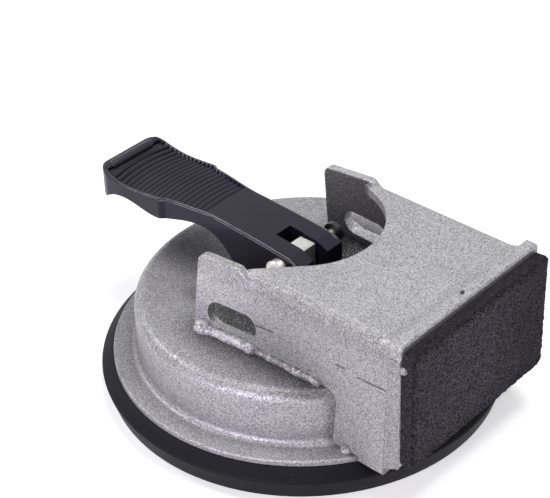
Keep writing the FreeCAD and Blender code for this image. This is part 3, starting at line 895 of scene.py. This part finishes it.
@dataclass(frozen=True)
class Finishes:
    """Every finish of the part, built once."""

    paint: bpy.types.Material
    bracket: bpy.types.Material
    cover: bpy.types.Material
    weld: bpy.types.Material
    seam: bpy.types.Material
    pitted: bpy.types.Material
    bar: bpy.types.Material
    rubber: bpy.types.Material
    lever: bpy.types.Material
    zinc: bpy.types.Material
    pin: bpy.types.Material
    bush: bpy.types.Material
    retainer: bpy.types.Material
    felt: bpy.types.Material

    @classmethod
    def build(cls) -> "Finishes":
        """Builds all the materials.

        Returns:
            The finishes.
        """
        pit = SparklePaint("pitted paint", steel=(0.003, 0.003, 0.003), mark_width=0.9,
                           mark_depth=1.0, marks=(((56.3, -0.1, 52.8), (56.7, -0.6, 52.8)),))
        zinc = PlatedSteel("zinc plate", (0.62, 0.62, 0.6), (0.4, 0.39, 0.37), 0.3)
        bright = PlatedSteel("bright steel", (0.72, 0.69, 0.65), (0.4, 0.36, 0.31), 0.22)
        return cls(
            paint=SparklePaint().material(),
            bracket=BracketPaint().material(),
            cover=CoverPaint().material(),
            weld=WeldPaint().material(),
            seam=SparklePaint("seam paint", (0.31, 0.305, 0.32)).material(),
            pitted=pit.material(),
            # The tip bar: a lighter copy of the lever plastic, its painted highlight.
            bar=LeverPlastic("highlit black plastic", (0.03, 0.028, 0.04)).material(),
            rubber=MouldedRubber().material(),
            lever=LeverPlastic().material(),
            zinc=zinc.material(),
            pin=bright.material(),
            bush=PlainMoulding("natural plastic", (0.62, 0.6, 0.54), 0.4).material(),
            retainer=PlainMoulding("black ring", (0.012, 0.012, 0.013), 0.3).material(),
            felt=Felt().material(),
        )


def pick(piece: bpy.types.Object) -> None:
    """Selects one object alone and makes it active.

    Args:
        piece: The object.
    """
    bpy.ops.object.select_all(action="DESELECT")
    piece.select_set(True)
    bpy.context.view_layer.objects.active = piece


@contextmanager
def editing(piece: bpy.types.Object) -> Iterator[None]:
    """Edit mode on one object, with its whole mesh selected.

    Args:
        piece: The object.
    """
    pick(piece)
    bpy.ops.object.mode_set(mode="EDIT")
    bpy.ops.mesh.select_all(action="SELECT")
    yield
    bpy.ops.object.mode_set(mode="OBJECT")


def shaped(piece: bpy.types.Object, kind: str, **settings: Any) -> None:
    """Adds a modifier and applies it.

    Args:
        piece: The object to shape.
        kind: The modifier's type.
        settings: Its settings.
    """
    modifier = piece.modifiers.new(kind.lower(), kind)
    for name, value in settings.items():
        setattr(modifier, name, value)
    pick(piece)
    bpy.ops.object.modifier_apply(modifier=modifier.name)


def clouds(name: str, size: float) -> bpy.types.Texture:
    """A cloud texture that displaces a surface.

    Args:
        name: The texture's name.
        size: Width of a cloud in millimetres.

    Returns:
        The texture.
    """
    texture = bpy.data.textures.new(name, "CLOUDS")
    texture.noise_scale = size * MM
    texture.noise_depth = 2
    return texture


def copied(node: str, name: str) -> bpy.types.Object:
    """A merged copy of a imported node, to be shaped on.

    Args:
        node: The node to copy.
        name: The new piece's name.

    Returns:
        The new piece.
    """
    piece = bpy.data.objects.new(name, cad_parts[node].data.copy())
    bpy.context.scene.collection.objects.link(piece)
    piece.data.materials.clear()
    with editing(piece):
        bpy.ops.mesh.remove_doubles(threshold=MERGE * MM)
    return piece


def settle(piece: bpy.types.Object, body: Body, material: bpy.types.Material) -> None:
    """Dresses a finished piece and sets it on its body.

    Args:
        piece: The piece.
        body: What it rides on.
        material: Its finish.
    """
    piece.data.materials.clear()
    piece.data.materials.append(material)
    pick(piece)
    bpy.ops.object.shade_smooth()
    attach(piece, body.value)
    LOG.info("built %s, %d faces", piece.name, len(piece.data.polygons))


def dress(names: Sequence[str], material: bpy.types.Material) -> None:
    """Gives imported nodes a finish.

    Args:
        names: The nodes.
        material: Their finish.
    """
    for name in names:
        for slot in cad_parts[name].material_slots:
            slot.material = material
        LOG.info("dressed %s in %s", name, material.name)


@dataclass
class Cup:
    """Rubber disc, cover and the small parts in the cover's middle."""

    finishes: Finishes
    middle_r: float = 33.0
    middle_gap: float = 0.05
    middle_keep: float = 0.68
    bond_z: float = 8.0
    cut_facets: int = 192
    cut_height: float = 100.0
    crease: float = math.radians(25)

    def cut(self, name: str, radius: float, keep: Keep) -> bpy.types.Object:
        """Cuts a copy of the rubber disc with an upright cylinder.

        Args:
            name: The new piece's name.
            radius: The cylinder's radius.
            keep: What the cut leaves.

        Returns:
            The new piece.
        """
        piece = copied("suction_disc", name)
        bpy.ops.object.select_all(action="DESELECT")
        bpy.ops.mesh.primitive_cylinder_add(vertices=self.cut_facets, radius=radius * MM,
                                            depth=self.cut_height * MM)
        cutter = bpy.context.object
        shaped(piece, "BOOLEAN", object=cutter, operation=keep.value, solver="EXACT")
        bpy.data.objects.remove(cutter)
        return piece

    def build(self) -> None:
        """Parts the rubber: the rim stays, and the middle goes down with the stud."""
        rim = self.cut("rubber_rim", self.middle_r, Keep.OUTSIDE)
        settle(rim, Body.CUP, self.finishes.rubber)
        bpy.ops.object.shade_smooth_by_angle(angle=self.crease)
        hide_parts("suction_disc")
        middle = self.cut("rubber_middle", self.middle_r - self.middle_gap, Keep.INSIDE)
        settle(middle, Body.STUD, self.finishes.rubber)
        bpy.ops.object.shade_smooth_by_angle(angle=self.crease)
        self.bond_z * MM
        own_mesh(middle)

    def dress(self) -> None:
        """Gives the cup's solids their finishes."""
        dress(["suction_disc"], self.finishes.rubber)
        dress(["cover"], self.finishes.cover)
        dress(["guide_bush"], self.finishes.bush)
        dress(["wear_plate", "insert_plate", "stud_washer"], self.finishes.zinc)


@dataclass
class LeverAction:
    """Lever, pin with its rings, and the stud that the lever pulls."""

    finishes: Finishes
    roll_at: Triple = (-69.1, 0.0, 45.8)
    roll_half: Triple = (1.35, 8.8, 1.3)
    roll_facets: int = 48
    end_round: float = 1.2
    end_segments: int = 6
    end_angle: float = math.radians(50)

    def build(self) -> None:
        """Models the rounded bar across the lever's tip."""
        width, half, height = self.roll_half
        bpy.ops.object.select_all(action="DESELECT")
        bpy.ops.mesh.primitive_cylinder_add(vertices=self.roll_facets, radius=MM,
                                            depth=2 * half * MM, rotation=(math.pi / 2, 0.0, 0.0))
        roll = bpy.context.object
        roll.name = "lever_tip_roll"
        bpy.ops.object.transform_apply(location=True, rotation=True, scale=True)
        with editing(roll):
            bpy.ops.transform.resize(value=(width, 1.0, height))
            bpy.ops.transform.translate(value=Vector(self.roll_at) * MM)
        shaped(roll, "BEVEL", width=self.end_round * MM, segments=self.end_segments,
               limit_method="ANGLE", angle_limit=self.end_angle)
        # The bar's lighter plastic is a painted highlight.
        settle(roll, Body.LEVER, self.finishes.bar)

    def dress(self) -> None:
        """Gives the moving solids their finishes."""
        dress(["lever"], self.finishes.lever)
        dress(["lift_stud", "pin_washers"], self.finishes.zinc)
        dress(["pivot_pin"], self.finishes.pin)
        dress(["pin_retainer"], self.finishes.retainer)


@dataclass
class FeltPad:
    """Felt pad on the stop plate: rounded edges, a tufted skin and loose fibres."""

    finishes: Finishes
    node: str = "stop_pad"
    voxel: float = 0.5
    smoothing: int = 3
    smooth_share: float = 0.5
    crown: float = 0.25
    crown_power: int = 4
    set_back: float = 0.15
    glued: float = 0.3
    tuft_size: float = 1.1
    tuft_height: float = 0.55
    tuft_level: float = 0.62
    fibre_count: int = 1500
    fibre_length: float = 1.3
    fibre_shares: Span = (0.4, 1.0)
    fibre_lifts: Span = (0.05, 0.3)
    fibre_points: Triple = (0.0, 0.5, 1.0)
    fibre_arch: float = 2.2
    fibre_width: float = 0.06
    fibre_start: float = 0.8
    seed: int = 7

    def weigh(self, pad: bpy.types.Object, back: float) -> str:
        """Weighs the skin: nothing at the glued back, all from a little over a millimetre on.

        Args:
            pad: The pad.
            back: The glued face's place along X in metres.

        Returns:
            The vertex group's name.
        """
        group = pad.vertex_groups.new(name="free")
        for vertex in pad.data.vertices:
            weight = min(1.0, max(0.0, (vertex.co.x - back) / MM - self.glued))
            group.add([vertex.index], weight, "REPLACE")
        return group.name

    def swell(self, pad: bpy.types.Object, low: Vector, high: Vector) -> None:
        """Draws the front in, most at its borders, so that the face is crowned.

        Args:
            pad: The pad.
            low: Lowest corner of the solid.
            high: Its highest corner.
        """
        middle, half = (low + high) / 2, (high - low) / 2
        for vertex in pad.data.vertices:
            aside = (vertex.co.y - middle.y) / half.y
            aloft = (vertex.co.z - middle.z) / half.z
            border = max(aside ** self.crown_power, aloft ** self.crown_power)
            if vertex.co.x > middle.x:
                vertex.co.x -= border * self.crown * MM + self.set_back * MM

    def build(self) -> None:
        """Models the pad and its fibres."""
        low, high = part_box(self.node)
        pad = copied(self.node, "felt_pad")
        shaped(pad, "REMESH", mode="VOXEL", voxel_size=self.voxel * MM)
        shaped(pad, "SMOOTH", factor=self.smooth_share, iterations=self.smoothing)
        self.swell(pad, low, high)
        group = self.weigh(pad, low.x)
        shaped(pad, "DISPLACE", texture=clouds("tufts", self.tuft_size), texture_coords="LOCAL",
               strength=self.tuft_height * MM, mid_level=self.tuft_level, vertex_group=group)
        settle(pad, Body.CUP, self.finishes.felt)
        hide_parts(self.node)
        self.fibres(pad, low.x)

    def fibres(self, pad: bpy.types.Object, back: float) -> None:
        """Adds loose fibres that lie along the pad's skin and stand off its edges.

        Args:
            pad: The finished pad.
            back: The glued face's place along X in metres.
        """
        dice = random.Random(self.seed)
        start = back + self.fibre_start * MM
        skin = [vertex for vertex in pad.data.vertices if vertex.co.x > start]
        data = bpy.data.curves.new("felt_fibres", "CURVE")
        data.dimensions = "3D"
        data.bevel_depth = self.fibre_width / 2 * MM
        data.bevel_resolution = 0
        data.use_fill_caps = True
        for _ in range(self.fibre_count):
            root = dice.choice(skin)
            stray = Vector((dice.uniform(-1, 1), dice.uniform(-1, 1), dice.uniform(-1, 1)))
            along = (stray - root.normal * stray.dot(root.normal)).normalized()
            length = self.fibre_length * dice.uniform(*self.fibre_shares) * MM
            lift = root.normal * length * dice.uniform(*self.fibre_lifts)
            spline = data.splines.new("POLY")
            spline.points.add(len(self.fibre_points) - 1)
            for point, share in zip(spline.points, self.fibre_points):
                arch = lift * math.sin(share * self.fibre_arch)
                point.co = (*(root.co + along * length * share + arch), 1.0)
        lint = bpy.data.objects.new("felt_fibres", data)
        bpy.context.scene.collection.objects.link(lint)
        pick(lint)
        bpy.ops.object.convert(target="MESH")
        settle(bpy.context.object, Body.CUP, self.finishes.felt)


@dataclass
class WeldBead:
    """A lumpy weld bead shaped over its plain solid."""

    node: str
    material: bpy.types.Material
    lump_height: float
    level: float
    lump_size: float = 3.6
    voxel: float = 0.2
    smoothing: int = 12
    smooth_share: float = 0.5
    draw_in: float = 1.0

    def build(self) -> None:
        """Models the bead."""
        bead = copied(self.node, self.node + "_bead")
        shaped(bead, "REMESH", mode="VOXEL", voxel_size=self.voxel * MM)
        shaped(bead, "DISPLACE", texture=clouds(self.node, self.lump_size), texture_coords="LOCAL",
               strength=self.lump_height * MM, mid_level=self.level)
        shaped(bead, "SMOOTH", factor=self.smooth_share, iterations=self.smoothing)
        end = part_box(self.node)[1].x
        for vertex in bead.data.vertices:
            vertex.co.x = end + (vertex.co.x - end) * self.draw_in
        settle(bead, Body.CUP, self.material)
        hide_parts(self.node)


@dataclass
class EdgeStop:
    """Bent bracket, stop plate, felt pad and the welds."""

    finishes: Finishes
    spatter_at: Triple = (59.8, -28.75, 45.9)
    spatter_r: float = 1.25

    def build(self) -> None:
        """Models the pad, the lumpy beads and a ball of spatter on the stop plate's near edge."""
        weld = self.finishes.weld
        FeltPad(self.finishes).build()
        for side in Side:
            WeldBead("side_weld_" + side.value, weld, lump_height=1.6, level=-0.1, smoothing=36,
                     draw_in=0.94).build()
            WeldBead("leg_weld_" + side.value, weld, lump_height=0.5, level=0.6).build()
        bpy.ops.object.select_all(action="DESELECT")
        bpy.ops.mesh.primitive_ico_sphere_add(subdivisions=3, radius=self.spatter_r * MM,
                                              location=Vector(self.spatter_at) * MM)
        ball = bpy.context.object
        ball.name = "weld_spatter"
        bpy.ops.object.transform_apply(location=True, rotation=True, scale=True)
        settle(ball, Body.CUP, self.finishes.seam)

    def dress(self) -> None:
        """Gives the bracket's solids their finishes."""
        dress(["bracket_channel"], self.finishes.bracket)
        dress(["stop_plate"], self.finishes.pitted)
        dress(["top_weld"], self.finishes.paint)
        dress(["corner_weld_near", "corner_weld_far"], self.finishes.seam)


@dataclass(frozen=True)
class Lamp:
    """A square soft lamp that faces the object; its power is in watts."""

    name: str
    place: Triple
    size: float
    power: float
    colour: Triple

    def build(self) -> None:
        """Adds the lamp."""
        data = bpy.data.lights.new(self.name, "AREA")
        data.size = self.size * MM
        data.energy = self.power
        data.color = self.colour
        lamp = bpy.data.objects.new(self.name, data)
        bpy.context.scene.collection.objects.link(lamp)
        spot = Vector(self.place) * MM
        lamp.location = spot
        lamp.rotation_euler = spot.to_track_quat("Z", "Y").to_euler()


@dataclass
class Studio:
    """Camera, lamps and the white floor, which aren't part of the object. Angles in degrees."""

    aim: Triple = (-15.82, 5.64, 31.01)
    distance: float = 500.0
    azimuth: float = 43.315
    elevation: float = 35.098
    roll: float = -2.205
    lens: float = 110.97
    clip_start: float = 10.0
    floor_size: float = 6000.0
    floor_drop: float = 0.05
    floor_colour: Triple = (0.86, 0.86, 0.87)
    near_glow: float = 0.55
    far_glow: float = 0.45
    far_reach: Span = (250.0, 700.0)
    white: Triple = (1.0, 1.0, 1.0)
    ambient: float = 0.16
    lamps: tuple[Lamp, ...] = (
        Lamp("overhead", (60, 170, 920), 400, 4.5, (1.0, 0.995, 0.98)),
        Lamp("near", (150, -850, 280), 600, 5.4, (0.9, 0.84, 1.0)),
        Lamp("left", (-826, -236, 807), 160, 2.4, (1.0, 1.0, 1.0)),
    )

    def camera(self) -> None:
        """Sets the camera at the photograph's place."""
        turn, lift = math.radians(self.azimuth), math.radians(self.elevation)
        level = math.cos(lift)
        back = Vector((math.sin(turn) * level, -math.cos(turn) * level, math.sin(lift)))
        data = bpy.data.cameras.new("view")
        data.lens = self.lens
        data.clip_start = self.clip_start * MM
        camera = bpy.data.objects.new("view", data)
        bpy.context.scene.collection.objects.link(camera)
        upright = back.to_track_quat("Z", "Y").to_matrix()
        rolled = upright @ Matrix.Rotation(math.radians(self.roll), 3, "Z")
        spot = (Vector(self.aim) + back * self.distance) * MM
        camera.matrix_world = Matrix.Translation(spot) @ rolled.to_4x4()
        bpy.context.scene.camera = camera

    def floor(self) -> None:
        """Adds the white floor, which keeps the object's shadow."""
        bpy.ops.object.select_all(action="DESELECT")
        bpy.ops.mesh.primitive_plane_add(size=self.floor_size * MM,
                                         location=(0, 0, -self.floor_drop * MM))
        floor = bpy.context.object
        floor.name = "floor"
        shader = Shader("white floor")
        reach = shader.vector("LENGTH", {0: shader.place()}, 1)
        glow = shader.seen() * (self.near_glow + reach.rise(*self.far_reach) * self.far_glow)
        floor.data.materials.append(shader.finish({
            "Base Color": self.floor_colour,
            "Roughness": 0.9,
            "Specular IOR Level": 0.1,
            "Emission Color": shader.shade(self.white, glow),
            "Emission Strength": 1.0,
        }))

    def world(self) -> None:
        """Sets a white surround that lights the object less than it shows."""
        world = bpy.data.worlds.new("studio")
        bpy.context.scene.world = world
        world.use_nodes = True
        nodes = Nodes(world.node_tree)
        levels = {"Value": nodes.seen(), "To Min": self.ambient, "To Max": 1.0}
        sky = nodes.tree.nodes["Background"]
        nodes.feed(sky.inputs["Color"], self.white)
        nodes.feed(sky.inputs["Strength"], nodes.node("ShaderNodeMapRange", None, levels))

    def build(self) -> None:
        """Sets the camera, the floor and the light."""
        self.camera()
        self.floor()
        self.world()
        for lamp in self.lamps:
            lamp.build()
        bpy.context.scene.view_settings.view_transform = "Standard"


def main() -> None:
    """Builds and dresses every sub-assembly in order."""
    logging.basicConfig(level=logging.INFO, format="%(name)s: %(message)s")
    finishes = Finishes.build()
    for assembly in (Cup(finishes), EdgeStop(finishes), LeverAction(finishes)):
        assembly.build()
        assembly.dress()
    Studio().build()


if __name__ == "__main__":
    main()
